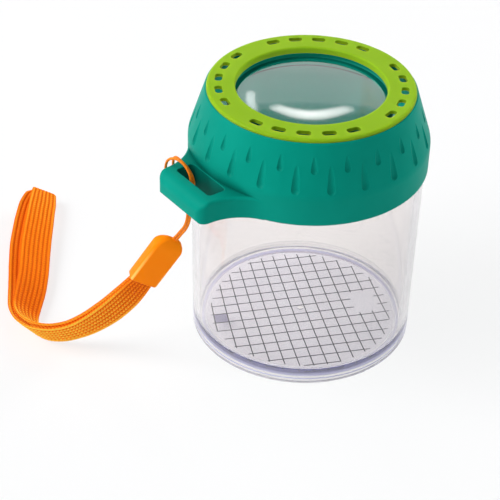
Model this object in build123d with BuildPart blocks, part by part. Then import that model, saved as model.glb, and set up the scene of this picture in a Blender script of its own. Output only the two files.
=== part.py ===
"""Bug catcher jar: clear jar, vented lid with a magnifier, and a wrist strap."""
import os
from math import atan, atan2, cos, degrees, pi, radians, sin, tan

from build123d import *

os.makedirs("parts", exist_ok=True)

# Whole object, in millimetres
overall_height = 85.0
lid_diameter = 72.0
lid_height = 25.2
seat_gap = 0.3
lid_radius = lid_diameter / 2
lid_bottom = overall_height - lid_height

# Vent ring
ring_thickness = 1.1
ring_width = 8.45
ring_step = 0.4
ring_outer_round = 0.9
ring_inner_round = 0.5
collar_depth = 0.95
collar_wall = 0.7
collar_clearance = 0.1
vent_radial = 2.3
vent_length = 4.2
vent_corner = 1.0
vents_per_group = 5
vent_groups = 4
vent_pitch = 15.0
vent_turn = 2.0
vent_offset = 0.75
post_diameter = 2.4
post_clearance = 0.05

# Lid
crown_inset = 4.9
band_height = 9.0
skirt_wall = 1.4
lid_clearance = 0.2
crown_wall = 1.5
deck_thickness = 1.6
neck_cover = 7.9
stop_width = 1.7
well_wall = 1.5
well_depth = 5.0
ledge_thickness = 1.2
ledge_width = 1.7
window_sweep = 62.0
window_width = 3.4
lid_top = overall_height - ring_thickness
band_top = lid_bottom + band_height
crown_top_radius = lid_radius - crown_inset
ring_outer = crown_top_radius - ring_step
ring_inner = ring_outer - ring_width
vent_radius = (ring_outer + ring_inner) / 2 + vent_offset
well_radius = ring_inner + collar_wall + collar_clearance
skirt_inner = lid_radius - skirt_wall
crown_angle = atan((lid_radius - crown_top_radius) / (lid_top - band_top))
deck_bottom = lid_top - deck_thickness
ledge_bottom = lid_top - well_depth
ledge_top = ledge_bottom + ledge_thickness

# Sunk teardrops on the crown, two staggered rows
drops_per_row = 22
drop_phase = -126.6
upper_drop_foot = 6.8
upper_drop_half = 0.95
upper_drop_length = 5.2
upper_drop_depth = 0.48
lower_drop_foot = 1.0
lower_drop_half = 1.25
lower_drop_length = 8.8
lower_drop_depth = 0.58
drop_middle = 0.62

# Strap tab on the lid band
tab_half = 11.3
tab_length = 11.2
tab_height = 6.8
tab_corner = 3.0
tab_round = 3.6
tab_foot_round = 0.8
tab_side_round = 0.9
bar_width = 5.0
slot_wall = 0.4
slot_half = 8.2
slot_draft = 4.5
slot_round = 0.3
tab_reach = lid_radius + tab_length
tab_top = lid_bottom + tab_height
slot_width = tab_length - bar_width - slot_wall

# Jar
jar_overhang = 0.9
jar_draft = 0.5
neck_wall = 1.6
bore_draft = 0.4
foot_lift = 2.1
floor_thickness = 2.2
foot_wall = 2.4
gate_radius = 0.9
gate_height = 0.25
shoulder_radius = lid_radius - jar_overhang
shoulder_height = lid_bottom - seat_gap
foot_radius = shoulder_radius - jar_draft
neck_radius = skirt_inner - lid_clearance
mouth_radius = neck_radius - neck_wall
rim_height = lid_bottom + neck_cover
stop_height = rim_height + seat_gap
floor_top = foot_lift + floor_thickness
bore_radius = mouth_radius - bore_draft

# Lens
lens_clearance = 0.05
lens_rim = 1.6
lens_rise = 2.5
lens_drop = 0.7
lens_radius = well_radius - lens_clearance

# Strap
string_diameter = 0.8
string_gap = 0.15
string_depth = 3.0
ferrule_width = 9.3
ferrule_thick = 4.6
ferrule_arch = 3.9
ferrule_round = 0.6
socket_depth = 4.0
socket_clearance = 0.3
webbing_layer = 1.1
webbing_width = 10.7
ferrule_mouth = Vector(-52.3, 11.7, 29.3)
ferrule_top = Vector(-44.95, 5.85, 44.75)
ferrule_length = (ferrule_top - ferrule_mouth).length
ferrule_axis = (ferrule_top - ferrule_mouth).normalized()
ferrule_face = Vector(ferrule_axis.Y, -ferrule_axis.X, 0).normalized()


def round_corner(sketch, point, radius):
    """Rounds the sketch corner nearest to the point."""
    fillet(sketch.vertices().sort_by_distance(point)[0], radius)


def crown_radius(height):
    """Outside radius of the tapered crown at a height."""
    return lid_radius - (height - band_top) * tan(crown_angle)


def teardrop(foot, half_width, length, depth):
    """Cutter for one sunk teardrop: round at its foot, pointed at its top."""
    lift = (half_width**2 - depth**2) / (2 * depth)
    ball = lift + depth
    height = band_top + foot + half_width * cos(crown_angle)
    reach = length - half_width
    slope = Vector(-sin(crown_angle), 0, cos(crown_angle))
    spot = Plane(origin=(crown_radius(height), 0, height), x_dir=slope, z_dir=(0, 1, 0))
    with BuildPart() as cutter:
        with BuildSketch(spot):
            with BuildLine():
                ThreePointArc((-ball, lift), (-ball * sin(pi / 4), lift - ball * cos(pi / 4)), (0, -depth))
                ThreePointArc((0, -depth), (reach / 2, -drop_middle * depth), (reach, 0))
                Polyline((reach, 0), (reach, lift), (-ball, lift))
            make_face()
        revolve(axis=Axis(spot.from_local_coords((0, lift, 0)), slope))
    return cutter.part


def blend_radii(points):
    """Radius of the arc at each inner point of a cord path."""
    radii = []
    for before, here, after in zip(points, points[1:], points[2:]):
        first = Vector(here) - Vector(before)
        second = Vector(after) - Vector(here)
        half_turn = radians(first.get_angle(second)) / 2
        radii.append(0.45 * min(first.length, second.length) / tan(half_turn))
    return radii


# Clear jar: foot skirt, floor, wall and the plain neck under the lid
with BuildPart() as jar_body:
    with BuildSketch(Plane.XZ) as jar_profile:
        with BuildLine():
            Polyline(
                (0, foot_lift - gate_height),
                (gate_radius, foot_lift - gate_height),
                (gate_radius, foot_lift),
                (foot_radius - foot_wall, foot_lift),
                (foot_radius - foot_wall, 0),
                (foot_radius, 0),
                (shoulder_radius, shoulder_height),
                (neck_radius, shoulder_height),
                (neck_radius, rim_height),
                (mouth_radius, rim_height),
                (bore_radius, floor_top),
                (0, floor_top),
                close=True,
            )
        make_face()
        round_corner(jar_profile, (bore_radius, floor_top), 1.2)
        round_corner(jar_profile, (foot_radius, 0), 0.5)
        round_corner(jar_profile, (foot_radius - foot_wall, 0), 0.4)
        round_corner(jar_profile, (foot_radius - foot_wall, foot_lift), 0.4)
        round_corner(jar_profile, (shoulder_radius, shoulder_height), 0.3)
        round_corner(jar_profile, (neck_radius, rim_height), 0.4)
        round_corner(jar_profile, (mouth_radius, rim_height), 0.4)
    revolve(axis=Axis.Z)
jar_body.part.label = "jar_body"
export_step(jar_body.part, "parts/jar_body.step")

# Strap tab: flared into the band in plan, rounded at its outer edge
sweep_reach = tab_reach - tab_corner
sweep_radius = (sweep_reach**2 - lid_radius**2 + tab_half**2) / (2 * (lid_radius - tab_half))
sweep_side = tab_half + sweep_radius
root_share = lid_radius / (lid_radius + sweep_radius)
sweep_start = degrees(atan2(-sweep_side, sweep_reach))
with BuildPart() as tab_block:
    with BuildSketch(Plane.XY.offset(lid_bottom)):
        with BuildLine():
            CenterArc((-sweep_reach, sweep_side), sweep_radius, sweep_start, -90 - sweep_start)
            CenterArc((-sweep_reach, tab_half - tab_corner), tab_corner, 90, 90)
            Line((-tab_reach, tab_half - tab_corner), (-tab_reach, 0))
            Line((-sweep_reach * root_share, sweep_side * root_share), (-sweep_reach * root_share, 0))
            mirror(about=Plane.XZ)
        make_face()
    extrude(amount=tab_height)
    with BuildSketch(Plane.XZ) as tab_profile:
        with BuildLine():
            Polyline(
                (-tab_reach, lid_bottom),
                (0, lid_bottom),
                (0, tab_top),
                (-tab_reach, tab_top),
                close=True,
            )
        make_face()
        round_corner(tab_profile, (-tab_reach, tab_top), tab_round)
        round_corner(tab_profile, (-tab_reach, lid_bottom), tab_foot_round)
    extrude(amount=sweep_side, both=True, mode=Mode.INTERSECT)
    top_edges = tab_block.edges().filter_by_position(Axis.Z, tab_top - 0.01, tab_top + 0.01)
    fillet(top_edges.filter_by(GeomType.CIRCLE), tab_side_round)

# One cutter for each row of teardrops
upper_drop = teardrop(upper_drop_foot, upper_drop_half, upper_drop_length, upper_drop_depth)
lower_drop = teardrop(lower_drop_foot, lower_drop_half, lower_drop_length, lower_drop_depth)

# Lid: band, crown with teardrops, vented deck, lens well and the strap tab
with BuildPart() as lid_shell:
    with BuildSketch(Plane.XZ) as lid_profile:
        with BuildLine():
            Polyline(
                (0, lid_bottom),
                (lid_radius, lid_bottom),
                (lid_radius, band_top),
                (crown_top_radius, lid_top),
                (0, lid_top),
                close=True,
            )
        make_face()
        round_corner(lid_profile, (lid_radius, lid_bottom), 0.4)
        round_corner(lid_profile, (lid_radius, band_top), 6.0)
        round_corner(lid_profile, (crown_top_radius, lid_top), 0.5)
    revolve(axis=Axis.Z)
    add(tab_block.part)
    inner_slope = crown_wall / cos(crown_angle)
    stop_radius = skirt_inner - stop_width
    stop_shoulder = band_top + (lid_radius - inner_slope - stop_radius) / tan(crown_angle)
    deck_radius = crown_radius(deck_bottom) - inner_slope
    with BuildSketch(Plane.XZ):
        with BuildLine():
            Polyline(
                (0, lid_bottom),
                (skirt_inner, lid_bottom),
                (skirt_inner, stop_height),
                (stop_radius, stop_height),
                (stop_radius, stop_shoulder),
                (deck_radius, deck_bottom),
                (well_radius + well_wall, deck_bottom),
                (well_radius + well_wall, ledge_bottom),
                (well_radius - ledge_width, ledge_bottom),
                (well_radius - ledge_width, ledge_top),
                (well_radius, ledge_top),
                (well_radius, lid_top),
                (0, lid_top),
                close=True,
            )
        make_face()
    revolve(axis=Axis.Z, mode=Mode.SUBTRACT)
    slot_middle = -lid_radius - slot_wall - slot_width / 2
    with BuildSketch(Plane(origin=(slot_middle, 0, tab_top), z_dir=(0, 0, -1))):
        RectangleRounded(slot_width, 2 * slot_half, 1.0)
    extrude(amount=tab_height, taper=slot_draft, mode=Mode.SUBTRACT)
    slot_rim = lid_shell.edges().filter_by_position(Axis.Z, tab_top - 0.01, tab_top + 0.01)
    slot_rim = slot_rim.filter_by_position(Axis.X, slot_middle - slot_width / 2 - 0.01, -lid_radius - 0.01)
    fillet(slot_rim.filter_by_position(Axis.Y, -slot_half - 0.01, slot_half + 0.01), slot_round)
    with BuildSketch(Plane.XY.offset(deck_bottom)):
        with PolarLocations(0, vent_groups, start_angle=180 / vent_groups + vent_turn):
            window_line = CenterArc((0, 0), vent_radius, -window_sweep / 2, window_sweep, mode=Mode.PRIVATE)
            SlotArc(window_line, window_width)
        with PolarLocations(vent_radius, vent_groups, start_angle=vent_turn):
            Circle(post_diameter / 2 + post_clearance)
    extrude(amount=deck_thickness, mode=Mode.SUBTRACT)
    with PolarLocations(0, drops_per_row, start_angle=drop_phase):
        add(upper_drop, mode=Mode.SUBTRACT)
    with PolarLocations(0, drops_per_row, start_angle=drop_phase + 180 / drops_per_row):
        add(lower_drop, mode=Mode.SUBTRACT)
lid_shell.part.label = "lid_shell"
export_step(lid_shell.part, "parts/lid_shell.step")

# Vent ring: four groups of air slots, a post between each two groups, a collar down the well
with BuildPart() as vent_ring:
    with BuildSketch(Plane.XY.offset(lid_top)):
        Circle(ring_outer)
        Circle(ring_inner, mode=Mode.SUBTRACT)
        group_sweep = vent_pitch * (vents_per_group - 1)
        for group in range(vent_groups):
            first_vent = (group + 0.5) * 360 / vent_groups - group_sweep / 2 + vent_turn
            with PolarLocations(vent_radius, vents_per_group, first_vent, group_sweep, endpoint=True):
                RectangleRounded(vent_radial, vent_length, vent_corner, mode=Mode.SUBTRACT)
    extrude(amount=ring_thickness)
    ring_rims = vent_ring.faces().sort_by(Axis.Z)[-1].edges().filter_by(GeomType.CIRCLE)
    fillet(ring_rims.filter_by(lambda rim: rim.radius > ring_outer - 0.01), ring_outer_round)
    fillet(ring_rims.filter_by(lambda rim: abs(rim.radius - ring_inner) < 0.01), ring_inner_round)
    with BuildSketch(Plane.XY.offset(deck_bottom)):
        with PolarLocations(vent_radius, vent_groups, start_angle=vent_turn):
            Circle(post_diameter / 2)
    extrude(amount=deck_thickness)
    with BuildSketch(Plane.XY.offset(lid_top - collar_depth)):
        Circle(ring_inner + collar_wall)
        Circle(ring_inner, mode=Mode.SUBTRACT)
    extrude(amount=collar_depth)
vent_ring.part.label = "vent_ring"
export_step(vent_ring.part, "parts/vent_ring.step")

# Magnifier lens, convex on both faces
with BuildPart() as lens:
    with BuildSketch(Plane.XZ):
        rim_top = ledge_top + lens_rim
        lower_edge = well_radius - ledge_width - lens_clearance
        lower_sphere = (lower_edge**2 + lens_drop**2) / (2 * lens_drop)
        upper_sphere = (lens_radius**2 + lens_rise**2) / (2 * lens_rise)
        lower_turn = atan2(lower_edge, lower_sphere - lens_drop) / 2
        upper_turn = atan2(lens_radius, upper_sphere - lens_rise) / 2
        lower_peak = ledge_top - lens_drop
        upper_peak = rim_top + lens_rise
        with BuildLine():
            ThreePointArc(
                (0, lower_peak),
                (lower_sphere * sin(lower_turn), lower_peak + lower_sphere * (1 - cos(lower_turn))),
                (lower_edge, ledge_top),
            )
            Polyline((lower_edge, ledge_top), (lens_radius, ledge_top), (lens_radius, rim_top))
            ThreePointArc(
                (lens_radius, rim_top),
                (upper_sphere * sin(upper_turn), upper_peak - upper_sphere * (1 - cos(upper_turn))),
                (0, upper_peak),
            )
            Line((0, upper_peak), (0, lower_peak))
        make_face()
    revolve(axis=Axis.Z)
lens.part.label = "lens"
export_step(lens.part, "parts/lens.step")

# Cord: up one strand, over the tab arm, round under the tab, and back down the other strand
string_points = [
    (-46.08, 6.75, 43.29),
    (-45.02, 5.91, 45.51),
    (-43.10, 3.85, 47.00),
    (-41.90, 3.20, 49.40),
    (-41.35, 3.15, 52.60),
    (-40.95, 2.70, 56.60),
    (-41.00, 2.30, 60.20),
    (-41.00, 2.10, 64.40),
    (-41.30, 2.30, 67.60),
    (-41.80, 3.60, 69.90),
    (-42.40, 6.20, 71.10),
    (-42.90, 9.30, 70.30),
    (-43.10, 11.80, 68.00),
    (-43.10, 12.50, 64.00),
    (-43.20, 12.40, 59.20),
    (-43.30, 10.20, 58.50),
    (-43.10, 6.40, 58.55),
    (-42.80, 3.60, 58.50),
    (-42.10, 1.60, 58.50),
    (-40.60, 0.80, 58.50),
    (-39.10, 1.60, 58.50),
    (-38.50, 3.60, 58.50),
    (-38.40, 6.40, 58.55),
    (-38.80, 10.60, 58.50),
    (-39.40, 13.00, 59.10),
    (-39.90, 13.10, 63.40),
    (-40.20, 12.60, 67.40),
    (-40.80, 10.20, 69.50),
    (-41.40, 7.00, 70.10),
    (-41.20, 4.30, 69.40),
    (-40.40, 2.60, 67.00),
    (-40.05, 2.10, 64.20),
    (-40.05, 2.30, 60.20),
    (-40.05, 2.65, 56.60),
    (-40.45, 2.90, 52.50),
    (-41.05, 2.75, 49.15),
    (-42.40, 3.35, 46.50),
    (-44.39, 5.41, 45.02),
    (-45.45, 6.25, 42.80),
]
string_radii = blend_radii(string_points)
print("string radii", [round(radius, 1) for radius in string_radii])
with BuildPart() as strap_string:
    with BuildLine() as string_path:
        FilletPolyline(*string_points, radius=string_radii)
    with BuildSketch(Plane(origin=string_path.wire() @ 0, z_dir=string_path.wire() % 0)):
        Circle(string_diameter / 2)
    sweep()
string_length = string_path.wire().length
string_share = strap_string.part.volume / (pi * string_diameter**2 / 4 * string_length)
print("string length", round(string_length, 1), "volume share", round(string_share, 4))
strap_string.part.label = "strap_string"
export_step(strap_string.part, "parts/strap_string.step")

# Webbing stations: middle point, lean in degrees, share of width, layer spacing, outer layer's slip
socket_end = ferrule_mouth + ferrule_axis * socket_depth
webbing_stations = [
    (tuple(socket_end), 0, 0.66, 1.6, 0),
    (tuple(ferrule_mouth), 0, 0.66, 1.6, 0),
    ((-56.0, 15.5, 21.7), 12, 0.84, 1.6, 0),
    ((-60.7, 19.8, 14.7), 20, 0.96, 1.6, 0),
    ((-66.1, 24.2, 9.3), 25, 1.0, 1.6, 0),
    ((-71.6, 28.3, 6.5), 28, 1.0, 1.6, 0),
    ((-75.8, 32.8, 5.6), 32, 1.0, 1.6, 0),
    ((-77.8, 38.5, 5.4), 38, 1.0, 1.7, 0),
    ((-76.5, 44.6, 5.2), 46, 1.0, 1.8, 0.2),
    ((-72.6, 50.5, 4.9), 53, 1.0, 1.8, 0.5),
    ((-68.3, 56.5, 4.5), 60, 1.0, 1.9, 0.8),
    ((-63.5, 64.2, 4.1), 66, 1.0, 2.0, 1.2),
    ((-56.6, 75.7, 3.8), 70, 1.0, 2.1, 1.6),
    ((-48.9, 86.8, 3.8), 70, 1.0, 2.4, 1.6),
    ((-42.1, 95.3, 4.0), 67, 1.0, 2.8, 1.0),
    ((-37.8, 100.2, 4.4), 62, 1.0, 2.6, 0.4),
]
loop_steps = 4
webbing_sections = []
back_sections = []
for index, (middle, lean, share, spread, slip) in enumerate(webbing_stations):
    before = Vector(webbing_stations[max(index - 1, 0)][0])
    after = Vector(webbing_stations[min(index + 1, len(webbing_stations) - 1)][0])
    along = (after - before).normalized()
    side = Vector(0, 0, 1).cross(along).normalized()
    rise = along.cross(side)
    edge = rise * cos(radians(lean)) + side * sin(radians(lean))
    face = edge.cross(along)
    centre = Vector(middle)
    webbing_sections.append((centre + face * (spread / 2) + edge * slip, edge, along, share))
    back_sections.insert(0, (centre - face * (spread / 2), edge, along * -1, share))
for step in range(1, loop_steps):
    turn = pi * step / loop_steps
    shift = edge * (slip * (1 - step / loop_steps))
    swing = face * (cos(turn) * spread / 2) + along * (sin(turn) * spread / 2)
    heading = along * cos(turn) - face * sin(turn)
    webbing_sections.append((centre + swing + shift, edge, heading, share))
webbing_sections += back_sections
with BuildPart() as strap_webbing:
    for centre, edge, heading, share in webbing_sections:
        with BuildSketch(Plane(origin=centre, x_dir=edge, z_dir=heading)):
            Rectangle(webbing_width * share, webbing_layer)
    loft(ruled=True)
strap_webbing.part.label = "strap_webbing"
export_step(strap_webbing.part, "parts/strap_webbing.step")
webbing_length = sum((b[0] - a[0]).length for a, b in zip(webbing_sections, webbing_sections[1:]))
print("webbing length", round(webbing_length, 1))

# Ferrule: flattened sleeve, arched at the cord end, socket for the webbing at the other
with BuildPart() as strap_ferrule:
    ferrule_plane = Plane(origin=ferrule_mouth, x_dir=ferrule_axis, z_dir=ferrule_face)
    with BuildSketch(ferrule_plane) as ferrule_outline:
        with BuildLine():
            Polyline(
                (0, -ferrule_width / 2),
                (ferrule_length, -ferrule_width / 2),
                (ferrule_length, ferrule_width / 2),
                (0, ferrule_width / 2),
                close=True,
            )
        make_face()
        fillet(ferrule_outline.vertices().sort_by(Axis.X)[-2:], ferrule_arch)
    extrude(amount=ferrule_thick / 2, both=True)
    long_edges = strap_ferrule.faces().filter_by(ferrule_plane).edges()
    ferrule_line = Axis(ferrule_mouth, ferrule_axis)
    fillet(long_edges.filter_by_position(ferrule_line, 0.1, ferrule_length), ferrule_round)
    socket_width = webbing_width * webbing_stations[0][2] + 2 * socket_clearance
    socket_thick = webbing_stations[0][3] + webbing_layer + 2 * socket_clearance
    with BuildSketch(Plane(origin=ferrule_mouth, x_dir=ferrule_face, z_dir=ferrule_axis)):
        RectangleRounded(socket_thick, socket_width, 0.8)
    extrude(amount=socket_depth, mode=Mode.SUBTRACT)
    cord_side = ferrule_face.cross(ferrule_axis)
    with BuildSketch(Plane(origin=ferrule_top, x_dir=cord_side, z_dir=ferrule_axis * -1)):
        SlotOverall(2 * string_diameter + 3 * string_gap, string_diameter + 2 * string_gap)
    extrude(amount=string_depth, mode=Mode.SUBTRACT)
strap_ferrule.part.label = "strap_ferrule"
export_step(strap_ferrule.part, "parts/strap_ferrule.step")
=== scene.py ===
"""Bug catcher jar: clear jar, vented lid with a magnifier, and a wrist strap, dressed for rendering."""
from math import cos, pi, radians, sin, sqrt, tau

import bmesh
import bpy
import numpy as np
from mathutils import Matrix, Vector


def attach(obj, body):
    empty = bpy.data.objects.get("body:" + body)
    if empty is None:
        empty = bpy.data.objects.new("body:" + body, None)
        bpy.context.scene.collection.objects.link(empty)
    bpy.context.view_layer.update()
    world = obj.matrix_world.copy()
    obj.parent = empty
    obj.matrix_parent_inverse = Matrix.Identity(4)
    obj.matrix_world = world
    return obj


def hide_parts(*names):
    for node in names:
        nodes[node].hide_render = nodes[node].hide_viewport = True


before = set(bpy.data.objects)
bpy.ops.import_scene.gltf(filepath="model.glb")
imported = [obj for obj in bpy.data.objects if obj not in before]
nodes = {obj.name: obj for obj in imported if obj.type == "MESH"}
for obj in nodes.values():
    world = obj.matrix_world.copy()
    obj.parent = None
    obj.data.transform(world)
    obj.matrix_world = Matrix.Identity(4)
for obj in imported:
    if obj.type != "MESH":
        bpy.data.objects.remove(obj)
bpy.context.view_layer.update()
scene = bpy.context.scene
MM = 0.001


# Node helpers

def new_material(name):
    """A material with an empty tree, its Principled shader and its output."""
    material = bpy.data.materials.new(name)
    material.use_nodes = True
    tree = material.node_tree
    tree.nodes.clear()
    output = tree.nodes.new("ShaderNodeOutputMaterial")
    shader = tree.nodes.new("ShaderNodeBsdfPrincipled")
    tree.links.new(shader.outputs["BSDF"], output.inputs["Surface"])
    return material, tree, shader, output


def material_nodes(material):
    """The tree of a finished material, its Principled shader and its output."""
    tree = material.node_tree
    return tree, tree.nodes["Principled BSDF"], tree.nodes["Material Output"]


def add_node(tree, kind, inputs=None, **settings):
    """A node of the tree, with its settings and its input values or links."""
    node = tree.nodes.new(kind)
    for key, value in settings.items():
        setattr(node, key, value)
    for key, value in (inputs or {}).items():
        if isinstance(value, bpy.types.NodeSocket):
            tree.links.new(value, node.inputs[key])
        else:
            node.inputs[key].default_value = value
    return node


def arithmetic(tree, operation, *values):
    """One step of arithmetic on sockets or plain numbers."""
    return add_node(tree, "ShaderNodeMath", dict(enumerate(values)), operation=operation).outputs[0]


def map_range(tree, value, source, target, **settings):
    """A value carried over from one range to another."""
    inputs = {"From Min": source[0], "From Max": source[1], "To Min": target[0], "To Max": target[1]}
    return add_node(tree, "ShaderNodeMapRange", {"Value": value, **inputs}, **settings).outputs["Result"]


def mix_values(tree, factor, first, second):
    """A value between two others."""
    inputs = {"Factor": factor, "A": first, "B": second}
    return add_node(tree, "ShaderNodeMix", inputs).outputs["Result"]


def mix_colours(tree, factor, first, second, blend="MIX"):
    """A colour made of two others."""
    inputs = {"Factor": factor, "A": first, "B": second}
    node = add_node(tree, "ShaderNodeMix", inputs, data_type="RGBA", blend_type=blend)
    return node.outputs["Result"]


def mix_shaders(tree, factor, first, second):
    """A surface made of two others."""
    return add_node(tree, "ShaderNodeMixShader", {0: factor, 1: first, 2: second}).outputs[0]


def matt(tree, colour):
    """A plain matt surface."""
    return add_node(tree, "ShaderNodeBsdfDiffuse", {"Color": colour}).outputs[0]


def height_and_reach(tree):
    """A point's height on the object, and its distance from the upright axis."""
    where = add_node(tree, "ShaderNodeTexCoord")
    axes = add_node(tree, "ShaderNodeSeparateXYZ", {0: where.outputs["Object"]})
    flat = add_node(tree, "ShaderNodeCombineXYZ", {"X": axes.outputs["X"], "Y": axes.outputs["Y"]})
    reach = add_node(tree, "ShaderNodeVectorMath", {0: flat.outputs[0]}, operation="LENGTH")
    return axes.outputs["Z"], reach.outputs["Value"]


# Finishes shared by several pieces

TONE_DETAIL = 3.0
TONE_RANGE = (0.35, 0.65)
GRAIN_DETAIL = 2.0
GLOSS_DETAIL = 4.0
MOULDED_TONE_SCALE = 60
MOULDED_GLOSS_SCALE = 220
MOULDED_GLOSS_DRIFT = 0.05
MOULDED_GRAIN = (2600, 0.12, 0.00005)
CLEAR_TONE_SCALE = 25
CLEAR_GLOSS_SCALE = 150
# Painted shade in hollows: the openness that maps to darkest and to plain colour, and the rays that measure
# it
HOLLOW_SHADE_RANGE = (0.25, 0.95)
HOLLOW_SHADE_SAMPLES = 32


def object_noise(tree, scale, detail):
    """A noise that is fixed to the object."""
    where = add_node(tree, "ShaderNodeTexCoord")
    inputs = {"Vector": where.outputs["Object"], "Scale": scale, "Detail": detail}
    return add_node(tree, "ShaderNodeTexNoise", inputs).outputs["Fac"]


def colour_noise(tree, dark, light, scale):
    """A colour that drifts between two tones over the surface."""
    ramp = add_node(tree, "ShaderNodeValToRGB", {"Fac": object_noise(tree, scale, TONE_DETAIL)})
    for element, position, colour in zip(ramp.color_ramp.elements, TONE_RANGE, (dark, light)):
        element.position = position
        element.color = (*colour, 1)
    return ramp.outputs["Color"]


def grain_bump(tree, scale, strength, distance):
    """A fine grain for a plastic or woven surface."""
    inputs = {"Height": object_noise(tree, scale, GRAIN_DETAIL), "Strength": strength, "Distance": distance}
    return add_node(tree, "ShaderNodeBump", inputs).outputs["Normal"]


def varied_roughness(tree, scale, low, high):
    """A roughness that drifts between two values over the surface."""
    return map_range(tree, object_noise(tree, scale, GLOSS_DETAIL), (0, 1), (low, high))


def moulded_plastic(name, dark, light, roughness, specular):
    """Satin moulded plastic: a slight drift of tone and gloss, and a fine grain."""
    material, tree, shader, _ = new_material(name)
    low, high = roughness - MOULDED_GLOSS_DRIFT, roughness + MOULDED_GLOSS_DRIFT
    gloss = varied_roughness(tree, MOULDED_GLOSS_SCALE, low, high)
    tree.links.new(colour_noise(tree, dark, light, MOULDED_TONE_SCALE), shader.inputs["Base Color"])
    tree.links.new(gloss, shader.inputs["Roughness"])
    tree.links.new(grain_bump(tree, *MOULDED_GRAIN), shader.inputs["Normal"])
    shader.inputs["Specular IOR Level"].default_value = specular
    return material


def clear_plastic(name, dark, light, depth_tint, density, roughness, index):
    """Clear plastic with a tint that grows with the depth seen through."""
    material, tree, shader, output = new_material(name)
    gloss = varied_roughness(tree, CLEAR_GLOSS_SCALE, roughness / 2, roughness)
    tree.links.new(colour_noise(tree, dark, light, CLEAR_TONE_SCALE), shader.inputs["Base Color"])
    tree.links.new(gloss, shader.inputs["Roughness"])
    shader.inputs["IOR"].default_value = index
    shader.inputs["Transmission Weight"].default_value = 1
    depth = add_node(tree, "ShaderNodeVolumeAbsorption", {"Color": (*depth_tint, 1), "Density": density})
    tree.links.new(depth.outputs["Volume"], output.inputs["Volume"])
    return material


def paint_hollow_shade(material, reach, darkest_shade):
    """Painted shade: a darker base colour in slots, pockets and inside corners, where shade falls."""
    tree, shader, _ = material_nodes(material)
    plain = shader.inputs["Base Color"].links[0].from_socket
    settings = {"samples": HOLLOW_SHADE_SAMPLES, "only_local": True}
    # Painted shade: the less open a point is, the darker its colour.
    hollow = add_node(tree, "ShaderNodeAmbientOcclusion", {"Distance": reach}, **settings)
    depth = map_range(tree, hollow.outputs["AO"], HOLLOW_SHADE_RANGE, (darkest_shade, 1.0))
    shade = add_node(tree, "ShaderNodeCombineColor", {"Red": depth, "Green": depth, "Blue": depth})
    mixed = mix_colours(tree, 1.0, plain, shade.outputs["Color"], "MULTIPLY")
    tree.links.new(mixed, shader.inputs["Base Color"])


def paint_edge_highlight(material, highlight_colour):
    """Painted highlight: a paler colour along the piece's soft edges, where they catch the light."""
    tree, shader, _ = material_nodes(material)
    plain = shader.inputs["Base Color"].links[0].from_socket
    rubbed = add_node(tree, "ShaderNodeAttribute", attribute_name="rubbed")
    mixed = mix_colours(tree, rubbed.outputs["Fac"], plain, (*highlight_colour, 1))
    tree.links.new(mixed, shader.inputs["Base Color"])


def paint_glow(material, strength):
    """Painted light: the surface glows a little in its own colour, though it is no lamp, so it looks more
    brightly lit.
    """
    tree, shader, _ = material_nodes(material)
    tree.links.new(shader.inputs["Base Color"].links[0].from_socket, shader.inputs["Emission Color"])
    shader.inputs["Emission Strength"].default_value = strength


def dress(node, material):
    """Gives a carried-over node its material."""
    node.data.materials.clear()
    node.data.materials.append(material)


def new_piece(name, mesh_or_curve, body, material):
    """A new piece that rides on a body and takes its finish from a slot."""
    piece = bpy.data.objects.new(name, mesh_or_curve)
    scene.collection.objects.link(piece)
    mesh_or_curve.materials.append(material)
    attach(piece, body)
    return piece


def finished_mesh(bm, name):
    """The mesh of a finished shape."""
    mesh = bpy.data.meshes.new(name)
    bm.to_mesh(mesh)
    bm.free()
    return mesh


# Jar, lid, ring and lens. Lengths are in millimetres. A cast is a share and a colour.

FLOOR_UNDER = 2.1
FLOOR_TOLERANCE = 0.2
FLOOR_EDGE = 30.8
FLOOR_HAZE = (0.17, (0.44, 0.43, 0.90))
# Painted violet light at the floor's rim: its share and colour
RIM_PAINTED_TINT = (0.72, (0.36, 0.36, 0.70))
FOOT_TOP = 5.5
FOOT_EDGE = 30.3
FOOT_MILK = (0.20, (0.83, 0.82, 0.87))
LENS_UNDER = 80.9
LENS_RIM = 22.95
LENS_SEAT_REFLECTION = (0.02, 0.33, 0.26)
LENS_POLISH_INDEX = 1.5
LENS_POLISH_ROUGHNESS = 0.07


def print_floor_and_paint_rim(material):
    """A faint haze of print on the jar's floor, painted violet light at its rim for the tint seen edge-on
    through it, and a milky foot.
    """
    tree, shader, output = material_nodes(material)
    height, reach = height_and_reach(tree)
    level = arithmetic(tree, "COMPARE", height, FLOOR_UNDER * MM, FLOOR_TOLERANCE * MM)
    # Painted violet light at the floor's rim, standing in for the tint seen edge-on through the thick edge.
    rim = arithmetic(tree, "GREATER_THAN", reach, FLOOR_EDGE * MM)
    share = mix_values(tree, rim, FLOOR_HAZE[0], RIM_PAINTED_TINT[0])
    amount = arithmetic(tree, "MULTIPLY", level, share)
    tone = mix_colours(tree, rim, (*FLOOR_HAZE[1], 1), (*RIM_PAINTED_TINT[1], 1))
    printed = mix_shaders(tree, amount, shader.outputs[0], matt(tree, tone))
    low = arithmetic(tree, "LESS_THAN", height, FOOT_TOP * MM)
    outer = arithmetic(tree, "GREATER_THAN", reach, FOOT_EDGE * MM)
    corner = arithmetic(tree, "MULTIPLY", low, outer)
    milky = arithmetic(tree, "MULTIPLY", corner, FOOT_MILK[0])
    footed = mix_shaders(tree, milky, printed, matt(tree, (*FOOT_MILK[1], 1)))
    tree.links.new(footed, output.inputs["Surface"])


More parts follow.
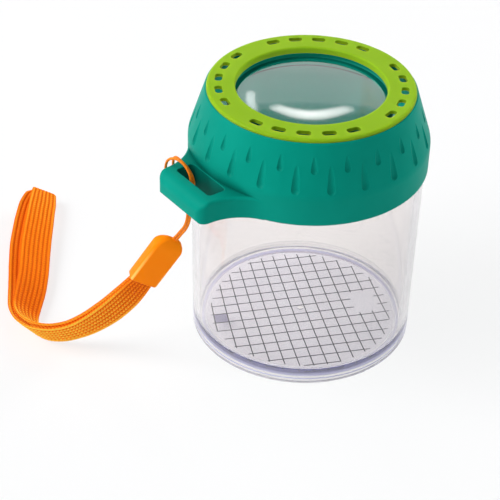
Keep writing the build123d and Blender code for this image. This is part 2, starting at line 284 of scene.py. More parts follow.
def finish_lens(material):
    """A polished upper face on the lens, and a painted reflection of its teal seat at its rim."""
    tree, shader, output = material_nodes(material)
    height, reach = height_and_reach(tree)
    upper = arithmetic(tree, "GREATER_THAN", height, LENS_UNDER * MM)
    tree.links.new(upper, shader.inputs["Coat Weight"])
    shader.inputs["Coat IOR"].default_value = LENS_POLISH_INDEX
    shader.inputs["Coat Roughness"].default_value = LENS_POLISH_ROUGHNESS
    # Painted reflection: the lens's rim shows the teal of its seat as a matt colour.
    edge = arithmetic(tree, "GREATER_THAN", reach, LENS_RIM * MM)
    seat_reflected = mix_shaders(tree, edge, shader.outputs[0], matt(tree, (*LENS_SEAT_REFLECTION, 1)))
    tree.links.new(seat_reflected, output.inputs["Surface"])


TEAL = moulded_plastic("teal_plastic", (0.001, 0.270, 0.200), (0.002, 0.293, 0.218), 0.42, 0.025)
# Painted shade in the lid's slots, pockets and inside corners.
paint_hollow_shade(TEAL, 0.010, 0.12)
LIME = moulded_plastic("lime_plastic", (0.238, 0.425, 0.012), (0.258, 0.450, 0.016), 0.42, 0.04)
lime_shader = LIME.node_tree.nodes["Principled BSDF"]
lime_shader.inputs["Subsurface Weight"].default_value = 0.6
lime_shader.inputs["Subsurface Radius"].default_value = (1.0, 1.0, 0.3)
lime_shader.inputs["Subsurface Scale"].default_value = 0.004
# Painted shade in the ring's vents and inside corners.
paint_hollow_shade(LIME, 0.004, 0.08)
JAR = clear_plastic(
    "clear_plastic",
    dark=(0.970, 0.942, 0.912),
    light=(0.978, 0.950, 0.922),
    depth_tint=(0.44, 0.42, 0.70),
    density=25,
    roughness=0.004,
    index=1.49,
)
print_floor_and_paint_rim(JAR)
LENS = clear_plastic(
    "lens_plastic",
    dark=(0.94, 0.98, 0.99),
    light=(0.95, 0.985, 1.0),
    depth_tint=(0.6, 0.8, 0.90),
    density=20,
    roughness=0.004,
    index=1.25,
)
finish_lens(LENS)

dress(nodes["jar_body"], JAR)
dress(nodes["lid_shell"], TEAL)
dress(nodes["vent_ring"], LIME)
dress(nodes["lens"], LENS)
for clear in (nodes["jar_body"], nodes["lens"]):
    clear.visible_shadow = False
    clear.visible_diffuse = False
nodes["vent_ring"].visible_glossy = False


# Floor grid printed on the underside of the jar's floor, in millimetres

GRID_RADIUS = 28.9
GRID_PITCH = 4.2
GRID_LINES = 14
GRID_TURN = radians(-24.4)
GRID_SHIFT = (-0.66, -1.02)
BARE_LOW = (17.2, -6.2)
BARE_HIGH = (25.2, 4.6)
CELL_COLUMN = 0
CELL_ROW = 6
LINE_HALF = 0.17
INK_HALF = 0.03
INK_ROUGHNESS = 0.6
INK_SPECULAR = 0.1


def ink_bar(bm, low, high):
    """A thin flat bar of ink between two corners of the grid's own axes."""
    turn = Matrix.Rotation(GRID_TURN, 4, "Z")
    corners = []
    for z in (FLOOR_UNDER - INK_HALF, FLOOR_UNDER + INK_HALF):
        for x, y in ((low[0], low[1]), (high[0], low[1]), (high[0], high[1]), (low[0], high[1])):
            corners.append(bm.verts.new(turn @ Vector((x * MM, y * MM, z * MM))))
    bottom, top = corners[:4], corners[4:]
    bm.faces.new(reversed(bottom))
    bm.faces.new(top)
    for side in range(4):
        after = (side + 1) % 4
        bm.faces.new((bottom[side], bottom[after], top[after], top[side]))


def grid_offsets(axis):
    """Places of the grid's lines on one of its axes."""
    middle = (GRID_LINES - 1) / 2
    return [(index - middle) * GRID_PITCH + GRID_SHIFT[axis] for index in range(GRID_LINES)]


def grid_runs(axis, offset):
    """The stretches of one line inside the printed circle and outside the bare patch."""
    reach = sqrt(GRID_RADIUS**2 - offset**2)
    along = 1 - axis
    if BARE_LOW[axis] < offset < BARE_HIGH[axis]:
        stretches = ((-reach, min(reach, BARE_LOW[along])), (BARE_HIGH[along], reach))
    else:
        stretches = ((-reach, reach),)
    return [(start, end) for start, end in stretches if end - start > LINE_HALF]


def floor_grid_mesh():
    """The printed grid, clipped to a circle, with a bare patch."""
    bm = bmesh.new()
    for axis in (0, 1):
        for offset in grid_offsets(axis):
            if abs(offset) >= GRID_RADIUS:
                continue
            for start, end in grid_runs(axis, offset):
                low = [offset - LINE_HALF, offset - LINE_HALF]
                high = [offset + LINE_HALF, offset + LINE_HALF]
                low[1 - axis] = start
                high[1 - axis] = end
                ink_bar(bm, low, high)
    return finished_mesh(bm, "floor_grid")


def grid_cell_mesh():
    """The one printed cell that is filled with colour."""
    bm = bmesh.new()
    low = (grid_offsets(0)[CELL_COLUMN] + LINE_HALF, grid_offsets(1)[CELL_ROW] + LINE_HALF)
    ink_bar(bm, low, (low[0] + GRID_PITCH - 2 * LINE_HALF, low[1] + GRID_PITCH - 2 * LINE_HALF))
    return finished_mesh(bm, "grid_cell")


INK = moulded_plastic(
    "grid_ink", (0.010, 0.010, 0.014), (0.018, 0.018, 0.024), INK_ROUGHNESS, INK_SPECULAR
)
VIOLET_INK = moulded_plastic(
    "violet_ink", (0.34, 0.32, 0.47), (0.40, 0.38, 0.53), INK_ROUGHNESS, INK_SPECULAR
)
new_piece("floor_grid", floor_grid_mesh(), "jar", INK)
new_piece("grid_cell", grid_cell_mesh(), "jar", VIOLET_INK)


# Ferrule: flattened sleeve with soft edges, domed where the cord enters, open where the webbing
# enters. Lengths are in millimetres.

FERRULE_MOUTH = Vector((-52.3, 11.7, 29.3))
FERRULE_TOP = Vector((-44.95, 5.85, 44.75))
FERRULE_WIDTH = 9.3
FERRULE_THICK = 4.6
FERRULE_ARCH = 3.9
FERRULE_LEAN = radians(14)
FERRULE_EDGE = 1.25
FERRULE_LIP = 0.25
# Painted highlight along the sleeve's soft edges: the share of the length it runs up, and below its width
# and colour
FERRULE_HIGHLIGHT_END = 0.72
FERRULE_PAINTED_GLOW = 0.10
EDGE_HIGHLIGHT_HALF = 0.42
EDGE_HIGHLIGHT_COLOUR = (1.0, 0.62, 0.16)
SOCKET_WIDTH = 7.66
SOCKET_THICK = 3.3
SOCKET_DEPTH = 4.0
SOCKET_EDGE = 0.8
RING_POINTS = 64
LIP_STEPS = 4
DOME_STEPS = 32
DOME_TIP = 0.1


def ring_turn(index):
    """The angle of one point of a ring."""
    return tau * (index + 0.5) / RING_POINTS


def ferrule_ring(place, half_width, half_thick, edge):
    """One soft-cornered ring across the ferrule, in its own axes."""
    edge = min(edge, half_width, half_thick)
    ring = []
    for index in range(RING_POINTS):
        turn = ring_turn(index)
        across = (half_width - edge) * (1 if cos(turn) > 0 else -1) + edge * cos(turn)
        through = (half_thick - edge) * (1 if sin(turn) > 0 else -1) + edge * sin(turn)
        ring.append((place, across, through))
    return ring


def edge_highlight_share(place, length):
    """How much painted highlight each point of a ring takes: along the soft edges, fading out before the
    dome.
    """
    fade = min(1, max(0, (FERRULE_HIGHLIGHT_END * length - place) / (length - FERRULE_HIGHLIGHT_END * length)))
    corners = [abs(ring_turn(index) % (pi / 2) - pi / 4) for index in range(RING_POINTS)]
    return [fade * max(0, 1 - corner / EDGE_HIGHLIGHT_HALF) ** 0.5 for corner in corners]


def ferrule_rings(length):
    """The rings of the socket, and those from the mouth's lip up to the dome."""
    socket = []
    for place, grow in ((SOCKET_DEPTH, 0.0), (FERRULE_LIP, 0.0), (0.0, FERRULE_LIP)):
        half = (SOCKET_WIDTH / 2 + grow, SOCKET_THICK / 2 + grow)
        socket.append(ferrule_ring(place, *half, SOCKET_EDGE))
    sleeve = []
    for step in range(LIP_STEPS + 1):
        turn = pi / 2 * step / LIP_STEPS
        shrink = FERRULE_LIP * (1 - sin(turn))
        half = (FERRULE_WIDTH / 2 - shrink, FERRULE_THICK / 2 - shrink)
        sleeve.append(ferrule_ring(FERRULE_LIP * (1 - cos(turn)), *half, FERRULE_EDGE))
    for step in range(DOME_STEPS + 1):
        turn = pi / 2 * step / DOME_STEPS
        place = length - FERRULE_ARCH * (1 - sin(turn))
        half_width = FERRULE_WIDTH / 2 - FERRULE_ARCH * (1 - cos(turn))
        half_thick = FERRULE_THICK / 2 * (DOME_TIP + (1 - DOME_TIP) * cos(turn))
        sleeve.append(ferrule_ring(place, half_width, half_thick, FERRULE_EDGE))
    return socket, sleeve


def ferrule_mesh():
    """The sleeve, from the floor of its socket, out round the mouth's lip, and up to the dome."""
    axis = (FERRULE_TOP - FERRULE_MOUTH).normalized()
    length = (FERRULE_TOP - FERRULE_MOUTH).length
    level_face = Vector((axis.y, -axis.x, 0)).normalized()
    level_side = level_face.cross(axis)
    side = level_side * cos(FERRULE_LEAN) + level_face * sin(FERRULE_LEAN)
    face = level_face * cos(FERRULE_LEAN) - level_side * sin(FERRULE_LEAN)
    socket, sleeve = ferrule_rings(length)
    bm = bmesh.new()
    rows = []
    for ring in socket + sleeve:
        rows.append([])
        for along, across, through in ring:
            spot = FERRULE_MOUTH + axis * along + side * across + face * through
            rows[-1].append(bm.verts.new(spot * MM))
    for low, high in zip(rows, rows[1:]):
        for index in range(RING_POINTS):
            after = (index + 1) % RING_POINTS
            bm.faces.new((low[index], low[after], high[after], high[index]))
    bm.faces.new(rows[0])
    bm.faces.new(rows[-1])
    bmesh.ops.recalc_face_normals(bm, faces=bm.faces)
    for polygon in bm.faces:
        polygon.smooth = True
    mesh = finished_mesh(bm, "strap_sleeve")
    # Each point's share of painted highlight; none inside the socket.
    shares = [0] * (RING_POINTS * len(socket))
    for ring in sleeve:
        shares += edge_highlight_share(ring[0][0], length)
    mesh.attributes.new("rubbed", "FLOAT", "POINT").data.foreach_set("value", shares)
    return mesh


FERRULE = moulded_plastic("orange_plastic", (0.96, 0.225, 0.003), (1.0, 0.250, 0.004), 0.28, 0.03)
# Painted highlight along the sleeve's soft edges.
paint_edge_highlight(FERRULE, EDGE_HIGHLIGHT_COLOUR)
# Painted light: the sleeve glows a little in its own colour.
paint_glow(FERRULE, FERRULE_PAINTED_GLOW)
strap_sleeve = new_piece("strap_sleeve", ferrule_mesh(), "lid", FERRULE)
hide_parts("strap_ferrule")


# Cord: girth hitch through the tab slot, both ends in the ferrule, in millimetres

STRING_POINTS = (
    (-46.08, 6.75, 43.29), (-44.64, 5.77, 44.77), (-43.46, 4.87, 47.00), (-42.32, 3.94, 48.98),
    (-41.68, 3.35, 51.93), (-41.57, 3.22, 55.79), (-41.00, 2.30, 60.20), (-41.00, 2.10, 64.40),
    (-41.30, 2.30, 67.60), (-41.80, 3.60, 69.90), (-42.40, 6.20, 71.10), (-42.90, 9.30, 70.30),
    (-43.10, 11.80, 68.00), (-43.10, 12.50, 64.00), (-43.20, 12.40, 59.20), (-43.30, 10.20, 58.50),
    (-43.10, 6.40, 58.55), (-42.80, 3.60, 58.50), (-42.10, 1.60, 58.50), (-40.60, 0.80, 58.50),
    (-39.10, 1.60, 58.50), (-38.50, 3.60, 58.50), (-38.40, 6.40, 58.55), (-38.80, 10.60, 58.50),
    (-39.40, 13.00, 59.10), (-39.90, 13.10, 63.40), (-40.20, 12.60, 67.40), (-40.80, 10.20, 69.50),
    (-41.40, 7.00, 70.10), (-41.20, 4.30, 69.40), (-40.40, 2.60, 67.00), (-40.05, 2.10, 64.20),
    (-40.05, 2.30, 60.20), (-40.93, 2.76, 55.76), (-41.08, 2.83, 51.82), (-41.89, 3.36, 48.64),
    (-43.13, 4.27, 46.57), (-44.30, 5.18, 44.36), (-45.45, 6.25, 42.80),
)
STRING_DIAMETER = 0.8
STRING_RESOLUTION = 8
STRING_SIDES = 4
STRING_TONE_SCALE = 1800
STRING_GRAIN = (2400, 0.5, 0.0001)


def route_curve(name, points, resolution):
    """One open smooth spline with the route's points as its control points."""
    curve = bpy.data.curves.new(name, "CURVE")
    curve.dimensions = "3D"
    spline = curve.splines.new("NURBS")
    spline.points.add(len(points) - 1)
    for spot, point in zip(spline.points, points):
        spot.co = (*(MM * value for value in point), 1)
    spline.order_u = 3
    spline.use_endpoint_u = True
    spline.resolution_u = resolution
    return curve


CORD, cord_tree, cord_shader, _ = new_material("orange_cord")
cord_colour = colour_noise(cord_tree, (0.82, 0.17, 0.004), (0.97, 0.28, 0.008), STRING_TONE_SCALE)
cord_tree.links.new(cord_colour, cord_shader.inputs["Base Color"])
cord_tree.links.new(grain_bump(cord_tree, *STRING_GRAIN), cord_shader.inputs["Normal"])
cord_shader.inputs["Roughness"].default_value = 0.5
cord_shader.inputs["Specular IOR Level"].default_value = 0.2
string_curve = route_curve("strap_cord", STRING_POINTS, STRING_RESOLUTION)
string_curve.bevel_depth = STRING_DIAMETER / 2 * MM
string_curve.bevel_resolution = STRING_SIDES
string_curve.use_fill_caps = True
strap_cord = new_piece("strap_cord", string_curve, "lid", CORD)
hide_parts("strap_string")


# Webbing: flat knitted strip, folded double, both ends in the ferrule, in millimetres

# Middle point, lean in degrees, share of width, layer spacing and slip of the layers
WEBBING_STATIONS = (
    ((-50.67, 10.41, 32.72), 14, 0.66, 1.6, 0.0),
    ((-52.3, 11.7, 29.3), 14, 0.66, 1.6, 0.0),
    ((-56.0, 15.5, 21.7), 16, 0.84, 1.6, 0.0),
    ((-60.7, 19.8, 14.7), 21, 0.96, 1.6, 0.0),
    ((-66.1, 24.2, 9.3), 25, 1.0, 1.6, 0.0),
    ((-71.6, 28.3, 6.5), 28, 1.0, 1.6, 0.0),
    ((-75.8, 32.8, 5.6), 32, 1.0, 1.6, 0.0),
    ((-77.8, 38.5, 5.4), 38, 1.0, 1.7, 0.0),
    ((-76.5, 44.6, 5.2), 46, 1.0, 1.8, 0.2),
    ((-72.4, 50.4, 4.9), 53, 1.0, 2.0, 0.8),
    ((-68.0, 56.2, 4.7), 60, 1.0, 2.4, 1.4),
    ((-63.0, 63.8, 4.8), 63, 1.0, 2.8, 1.9),
    ((-55.9, 75.2, 5.0), 65, 1.0, 3.3, 2.1),
    ((-48.1, 86.2, 5.3), 63, 0.97, 3.8, 2.0),
    ((-41.7, 95.0, 5.5), 60, 0.94, 4.0, 1.6),
    ((-37.6, 99.9, 5.4), 58, 0.92, 2.8, 0.9),
)
WEBBING_WIDTH = 10.7
WEBBING_LAYER = 1.1
LINE_RESOLUTION = 32
RING_STEP = 0.26
FACE_COLUMNS = 49
EDGE_EASE = 4
RIBS = 7
RIB_RISE = 0.20
KNIT_ROUND = 0.7
STITCH_PITCH = 1.2
STITCH_RISE = 0.24
STITCH_SLANT = 1.3
# How much darker the painted shade between stitches is
STITCH_SHADE = 0.9
BORDER_STITCH = 0.5
CALM_START = 0.40
CALM_END = 0.56
CALM_STITCH = 0.35
CALM_TONE = 0.55
LOOP_RINGS = 14
LOOP_TUCK = 0.30
FOLD_TUCK = 0.08
FOLD_START = 0.86
FOLD_SKEW = 0.25
OUTER_SLIP = 0.85
INNER_SLIP = 0.5
# Share of the strip's run, and the painted light and shade there (brighter where the strip turns to the
# light, darker where it turns away), on the outer and the inner layer
OUTER_PAINTED_LIGHT = (
    (0.0, 0.74), (0.06, 0.76), (0.12, 1.06), (0.24, 1.36), (0.31, 1.62), (0.38, 1.62),
    (0.50, 1.20), (0.62, 0.9), (1.0, 1.05),
)
INNER_PAINTED_LIGHT = (
    (0.0, 0.80), (0.12, 1.10), (0.30, 1.50), (0.42, 1.40), (0.49, 0.66), (0.55, 0.68),
    (0.65, 0.85), (0.80, 0.93), (0.92, 1.10), (1.0, 1.12),
)
# Painted shade of the knit and the thread's colour there: dark in the grooves, the thread's own orange
# between, a painted highlight on the crowns
THREAD_COLOUR_AND_SHADE = (
    (0.02, (0.56, 0.050, 0.001, 1)),
    (0.55, (0.94, 0.21, 0.006, 1)),
    (1.0, (1.0, 0.56, 0.055, 1)),
)
FUZZ_DARK = (0.92, 0.92, 0.92)
FUZZ_SCALE = 1500
WEBBING_GRAIN = (3000, 0.4, 0.0001)
WEBBING_PAINTED_GLOW = 0.15


def spline_line(points):
    """The smooth line of a route, read back from its spline."""
    curve = route_curve("route", points, LINE_RESOLUTION)
    bare = bpy.data.objects.new("route", curve)
    mesh = bpy.data.meshes.new_from_object(bare)
    line = np.array([vertex.co for vertex in mesh.vertices]) / MM
    bpy.data.meshes.remove(mesh)
    bpy.data.objects.remove(bare)
    bpy.data.curves.remove(curve)
    return line


def along_line(line):
    """Distance along a line at each of its points."""
    return np.concatenate([[0], np.cumsum(np.linalg.norm(np.diff(line, axis=0), axis=1))])


def unit(rows):
    """Each row scaled to a length of one."""
    return rows / np.linalg.norm(rows, axis=1)[:, None]


def webbing_frames():
    """Even rings down the doubled strip: middle, edge, face, heading, width share, spacing, slip."""
    points = np.array([station[0] for station in WEBBING_STATIONS])
    line = spline_line([station[0] for station in WEBBING_STATIONS])
    run = along_line(line)
    share = along_line(points) / along_line(points)[-1]
    at = np.linspace(0, run[-1], int(run[-1] / RING_STEP) + 1)
    middle = np.stack([np.interp(at, run, line[:, axis]) for axis in range(3)], axis=1)
    heading = unit(np.gradient(middle, axis=0))
    side = unit(np.cross((0, 0, 1), heading))
    rise = np.cross(heading, side)
    columns = list(zip(*WEBBING_STATIONS))[1:]
    lean, width_share, spacing, slip = (np.interp(at / run[-1], share, column) for column in columns)
    lean = np.radians(lean)[:, None]
    edge = rise * np.cos(lean) + side * np.sin(lean)
    face = np.cross(edge, heading)
    return middle, edge, face, heading, width_share, spacing, slip


def knit_rise(across, along, stitched):
    """Height of the knit over the strip's plain face, and the painted shade on it: darker in the grooves
    and between the stitches.
    """
    rib = across * RIBS
    within = rib - np.floor(rib)
    crown = np.sin(pi * within) ** KNIT_ROUND
    slant = np.abs(within - 0.5) * STITCH_SLANT
    stitch = (0.5 + 0.5 * np.cos(tau * (along / STITCH_PITCH + slant))) ** KNIT_ROUND
    strength = np.where((rib < 1) | (rib > RIBS - 1), BORDER_STITCH, 1.0) * stitched
    height = crown * (RIB_RISE + STITCH_RISE * stitch * strength)
    calmed = CALM_TONE + (1 - CALM_TONE) * stitched
    # Painted shade: darker in the grooves and between the stitches.
    tone = crown * (1 - STITCH_SHADE * strength * (1 - stitch)) * calmed
    return height, tone


def webbing_rings():
    """Rings out on one layer, round the fold and back on the other, and the strip's middle line."""
    middle, edge, face, heading, share, spacing, slip = webbing_frames()
    count = len(middle)
    run = np.linspace(0, 1, count)
    stitched = 1 - (1 - CALM_STITCH) * np.clip((run - CALM_START) / (CALM_END - CALM_START), 0, 1)
    fold = np.clip((run - FOLD_START) / (1 - FOLD_START), 0, 1)
    sweep = edge - heading * (FOLD_SKEW * fold**2)[:, None]
    share = share * (1 - FOLD_TUCK * fold**6)
    # Painted light and shade along each layer.
    outer_light = np.interp(run, *zip(*OUTER_PAINTED_LIGHT))
    inner_light = np.interp(run, *zip(*INNER_PAINTED_LIGHT))
    rings = []
    for k in range(count):
        spot = middle[k] + face[k] * spacing[k] / 2 + edge[k] * slip[k] * OUTER_SLIP
        rings.append((spot, sweep[k], face[k], share[k], stitched[k], outer_light[k]))
    for step in range(1, LOOP_RINGS):
        turn = pi * step / LOOP_RINGS
        outward = face[-1] * cos(turn) + heading[-1] * sin(turn)
        shift = edge[-1] * slip[-1] * (OUTER_SLIP - (OUTER_SLIP + INNER_SLIP) * step / LOOP_RINGS)
        spot = middle[-1] + outward * spacing[-1] / 2 + shift
        tucked = share[-1] * (1 - LOOP_TUCK * sin(turn) ** 2)
        rings.append((spot, sweep[-1], outward, tucked, stitched[-1], inner_light[-1]))
    for k in reversed(range(count)):
        spot = middle[k] - face[k] * spacing[k] / 2 - edge[k] * slip[k] * INNER_SLIP
        rings.append((spot, sweep[k], -face[k], share[k], stitched[k], inner_light[k]))
    return rings, middle


def webbing_mesh():
    """The strip's knitted surface, ring by ring, and its middle line."""
    rings, middle = webbing_rings()
    run = along_line(np.array([ring[0] for ring in rings]))
    across = (np.arange(FACE_COLUMNS) + 0.5) / FACE_COLUMNS
    ease = np.minimum(1, np.sin(pi * across) * EDGE_EASE) ** 0.5
    plain = WEBBING_LAYER / 2 - RIB_RISE - STITCH_RISE
    vertices = []
    painted_shading = []
    for (centre, edge_way, face_way, width_share, stitched, painted_light), place in zip(rings, run):
        # The knit's painted shade, times the painted light along the strip.
        height, tone = knit_rise(across, place, stitched)
        rise = (plain + height) * ease
        painted_shading.append(np.concatenate([tone, tone[::-1]]) * painted_light)
        spread = (across - 0.5) * WEBBING_WIDTH * width_share
        over = centre + spread[:, None] * edge_way + rise[:, None] * face_way
        under = centre + spread[::-1, None] * edge_way - rise[::-1, None] * face_way
        vertices.append(np.concatenate([over, under]))
    vertices = np.concatenate(vertices) * MM
    count = 2 * FACE_COLUMNS
    faces = []
    for ring in range(len(rings) - 1):
        low = ring * count
        high = low + count
        for column in range(count):
            after = (column + 1) % count
            faces.append((low + column, low + after, high + after, high + column))
    faces.append(tuple(reversed(range(count))))
    faces.append(tuple(range((len(rings) - 1) * count, len(rings) * count)))
    mesh = bpy.data.meshes.new("strap_band")
    mesh.from_pydata(vertices.tolist(), [], faces)
    mesh.polygons.foreach_set("use_smooth", [True] * len(mesh.polygons))
    mesh.attributes.new("knit", "FLOAT", "POINT").data.foreach_set("value", np.concatenate(painted_shading))
    bm = bmesh.new()
    bm.from_mesh(mesh)
    bmesh.ops.recalc_face_normals(bm, faces=bm.faces)
    bm.to_mesh(mesh)
    bm.free()
    return mesh, middle * MM


WEBBING, web_tree, web_shader, _ = new_material("orange_webbing")
# Thread colour with painted shade in the knit's grooves and a painted highlight on its crowns.
knit = add_node(web_tree, "ShaderNodeAttribute", attribute_name="knit")
thread = add_node(web_tree, "ShaderNodeValToRGB", {"Fac": knit.outputs["Fac"]})
thread.color_ramp.elements.new(THREAD_COLOUR_AND_SHADE[1][0])
for element, (position, colour) in zip(thread.color_ramp.elements, THREAD_COLOUR_AND_SHADE):
    element.position = position
    element.color = colour
fuzz = colour_noise(web_tree, FUZZ_DARK, (1, 1, 1), FUZZ_SCALE)
shaded_thread = mix_colours(web_tree, 1.0, thread.outputs["Color"], fuzz, "MULTIPLY")
web_tree.links.new(shaded_thread, web_shader.inputs["Base Color"])
web_tree.links.new(grain_bump(web_tree, *WEBBING_GRAIN), web_shader.inputs["Normal"])
web_shader.inputs["Roughness"].default_value = 0.7
web_shader.inputs["Specular IOR Level"].default_value = 0.05
# Painted light: the webbing glows a little in its own colour.
paint_glow(WEBBING, WEBBING_PAINTED_GLOW)
band_mesh, band_path = webbing_mesh()
strap_band = new_piece("strap_band", band_mesh, "lid", WEBBING)
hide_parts("strap_webbing")
for strap_piece in (strap_band, strap_sleeve, strap_cord):
    strap_piece.visible_glossy = False


# Studio: white floor and surround, soft lamps

FLOOR_HALF = 3
FLOOR_LEVEL = -0.0002
FLOOR_COLOUR = (0.86, 0.86, 0.87, 1)
FLOOR_GLOW = 0.70
FLOOR_GLOW_THROUGH = 0.30
FLOOR_SPREAD = (0.25, 0.9)
WHITE = (1, 1, 1, 1)
WALL_TOP = 0.63
WALL_SOFT = 0.03
WALL_RIGHT = (0.794, -0.608, 0)
WALL_ARCH = 0.06
CEILING = 0.2
AMBIENT_COLOUR = (0.95, 0.97, 1, 1)
AMBIENT_STRENGTH = 0.27


def seen_directly(tree):
    """One for camera, glossy and transmission rays, and nought for the rest."""
    path = add_node(tree, "ShaderNodeLightPath")
    seen = arithmetic(tree, "MAXIMUM", path.outputs["Is Camera Ray"], path.outputs["Is Glossy Ray"])
    return arithmetic(tree, "MAXIMUM", seen, path.outputs["Is Transmission Ray"])


floor_corners = (
    (-FLOOR_HALF, -FLOOR_HALF, FLOOR_LEVEL),
    (FLOOR_HALF, -FLOOR_HALF, FLOOR_LEVEL),
    (FLOOR_HALF, FLOOR_HALF, FLOOR_LEVEL),
    (-FLOOR_HALF, FLOOR_HALF, FLOOR_LEVEL),
)
floor_mesh = bpy.data.meshes.new("floor")
floor_mesh.from_pydata(floor_corners, [], [(0, 1, 2, 3)])
floor = bpy.data.objects.new("floor", floor_mesh)
scene.collection.objects.link(floor)
floor_material, floor_tree, floor_shader, floor_output = new_material("floor")
floor_shader.inputs["Base Color"].default_value = FLOOR_COLOUR
floor_shader.inputs["Roughness"].default_value = 0.9
floor_shader.inputs["Specular IOR Level"].default_value = 0
glow = add_node(floor_tree, "ShaderNodeEmission", {"Color": WHITE, "Strength": 1.0})
path = add_node(floor_tree, "ShaderNodeLightPath")
floor_spot = add_node(floor_tree, "ShaderNodeTexCoord")
distance = add_node(
    floor_tree, "ShaderNodeVectorMath", {0: floor_spot.outputs["Object"]}, operation="LENGTH"
)
spread = map_range(
    floor_tree,
    distance.outputs["Value"],
    FLOOR_SPREAD,
    (FLOOR_GLOW, 1.0),
    interpolation_type="SMOOTHSTEP",
)
share = mix_values(floor_tree, path.outputs["Is Transmission Ray"], spread, FLOOR_GLOW_THROUGH)
amount = arithmetic(floor_tree, "MULTIPLY", seen_directly(floor_tree), share)
floor_surface = mix_shaders(floor_tree, amount, floor_shader.outputs[0], glow.outputs[0])
floor_tree.links.new(floor_surface, floor_output.inputs["Surface"])
floor_mesh.materials.append(floor_material)

world = bpy.data.worlds.new("studio")
scene.world = world
world.use_nodes = True
sky = world.node_tree
sky.nodes.clear()
sky_output = add_node(sky, "ShaderNodeOutputWorld")
ambient = add_node(sky, "ShaderNodeBackground", {"Color": AMBIENT_COLOUR, "Strength": AMBIENT_STRENGTH})
toward = add_node(sky, "ShaderNodeTexCoord").outputs["Generated"]
height = add_node(sky, "ShaderNodeSeparateXYZ", {0: toward}).outputs["Z"]
aside = add_node(sky, "ShaderNodeVectorMath", {0: toward, 1: WALL_RIGHT}, operation="DOT_PRODUCT")
bend = arithmetic(sky, "POWER", aside.outputs["Value"], 2.0)
bend = arithmetic(sky, "MINIMUM", bend, WALL_ARCH)
arched = arithmetic(sky, "ADD", height, bend)
wall = map_range(sky, arched, (WALL_TOP, WALL_TOP + WALL_SOFT), (1.0, CEILING))
white = add_node(sky, "ShaderNodeBackground", {"Color": WHITE, "Strength": wall})
surround = mix_shaders(sky, seen_directly(sky), ambient.outputs[0], white.outputs[0])
sky.links.new(surround, sky_output.inputs["Surface"])

JAR_MIDDLE = (0, 0, 0.05)
LENS_MIDDLE = (0, 0, 0.08)
# The lens's long highlight: a row of small lamps, bowed and narrower toward its ends
ARCH_STEPS = range(-12, 13)
ARCH_START = 0.40
ARCH_PITCH = 0.293
ARCH_CREST = 0.25
ARCH_WIDTH = 0.080
ARCH_TAPER = 0.00023
ARCH_SAG = 0.0090
ARCH_PLACE = (0.362, 0.450, 0.711)
ARCH_SLOPE = (0.026, -0.021)
ARCH_POWER = 0.26
ARCH_COLOUR = (1.0, 0.93, 0.92)
# The lens's short highlight at its left: a second, curved row
SIDE_STEPS = range(-2, 5)
SIDE_PITCH = 0.5
SIDE_LEAN = (0.017, -0.0126, 0.0027)
SIDE_PLACE = (0.245, 0.615, 0.533)
SIDE_ACROSS = (0.93, -0.37)
SIDE_SLOPE = (-0.0081, -0.0204, 0.0393)
SIDE_SIZE = (0.029, 0.06)
SIDE_POWER = 0.008


def softbox(name, place, target, size, power):
    """A soft lamp aimed at a point, not seen through the clear parts."""
    lamp = bpy.data.lights.new(name, "AREA")
    lamp.shape = "ELLIPSE"
    lamp.size, lamp.size_y = size
    lamp.energy = power
    holder = bpy.data.objects.new(name, lamp)
    scene.collection.objects.link(holder)
    holder.location = place
    holder.rotation_euler = (Vector(target) - Vector(place)).to_track_quat("-Z", "Y").to_euler()
    holder.visible_transmission = False
    return holder


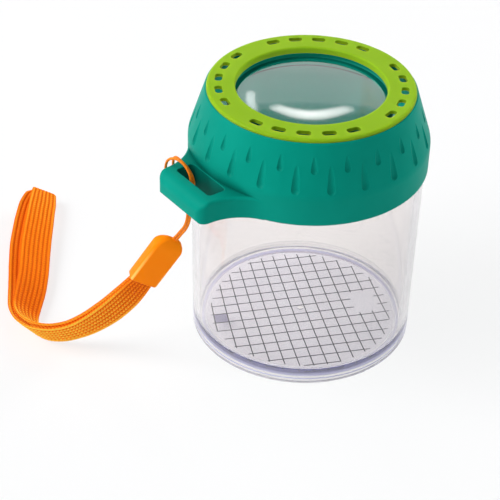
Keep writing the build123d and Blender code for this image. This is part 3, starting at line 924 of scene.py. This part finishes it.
softbox("key", (-0.70, 0.35, 0.72), JAR_MIDDLE, (0.75, 0.75), 11)
rim = softbox("rim", (0.96, 0.0, 0.42), JAR_MIDDLE, (0.4, 0.4), 5.5)
rim.visible_glossy = False
softbox("fill", (0.2, -0.9, 0.45), JAR_MIDDLE, (0.6, 0.6), 1.4)
for step in ARCH_STEPS:
    run = ARCH_START + ARCH_PITCH * step
    width = ARCH_WIDTH - ARCH_TAPER * step**2
    place = (
        ARCH_PLACE[0] + ARCH_SLOPE[0] * run,
        ARCH_PLACE[1] + ARCH_SLOPE[1] * run,
        ARCH_PLACE[2] - ARCH_SAG * (run - ARCH_CREST) ** 2,
    )
    arch = softbox("arch", place, LENS_MIDDLE, (width, width), ARCH_POWER * width)
    arch.data.color = ARCH_COLOUR
for step in SIDE_STEPS:
    run = SIDE_PITCH * step
    lean = SIDE_LEAN[0] + SIDE_LEAN[1] * run + SIDE_LEAN[2] * run**2
    place = (
        SIDE_PLACE[0] + SIDE_ACROSS[0] * lean + SIDE_SLOPE[0] * run,
        SIDE_PLACE[1] + SIDE_ACROSS[1] * lean + SIDE_SLOPE[1] * run,
        SIDE_PLACE[2] + SIDE_SLOPE[2] * run,
    )
    softbox("side", place, LENS_MIDDLE, SIDE_SIZE, SIDE_POWER)
bounce = softbox("bounce", (0, 0, 0.03), LENS_MIDDLE, (0.05, 0.05), 0.008)
bounce.visible_glossy = False


# Camera at the photograph's viewing angle

CAMERA_PLACE = (-0.24434, -0.29195, 0.30268)
CAMERA_YAW = radians(37.42)
CAMERA_PITCH = radians(-36.16)
CAMERA_ROLL = radians(1.46)
SENSOR_WIDTH = 36
FOCAL_LENGTH = 108
ahead = cos(CAMERA_PITCH)
forward = Vector((sin(CAMERA_YAW) * ahead, cos(CAMERA_YAW) * ahead, sin(CAMERA_PITCH)))
level = Vector((cos(CAMERA_YAW), -sin(CAMERA_YAW), 0))
upward = level.cross(forward)
rightward = level * cos(CAMERA_ROLL) + upward * sin(CAMERA_ROLL)
upright = upward * cos(CAMERA_ROLL) - level * sin(CAMERA_ROLL)
lens_data = bpy.data.cameras.new("camera")
lens_data.sensor_width = SENSOR_WIDTH
lens_data.lens = FOCAL_LENGTH
camera = bpy.data.objects.new("camera", lens_data)
scene.collection.objects.link(camera)
turned = Matrix((rightward, upright, -forward)).transposed()
camera.matrix_world = Matrix.Translation(CAMERA_PLACE) @ turned.to_4x4()
scene.camera = camera
scene.view_settings.view_transform = "Standard"
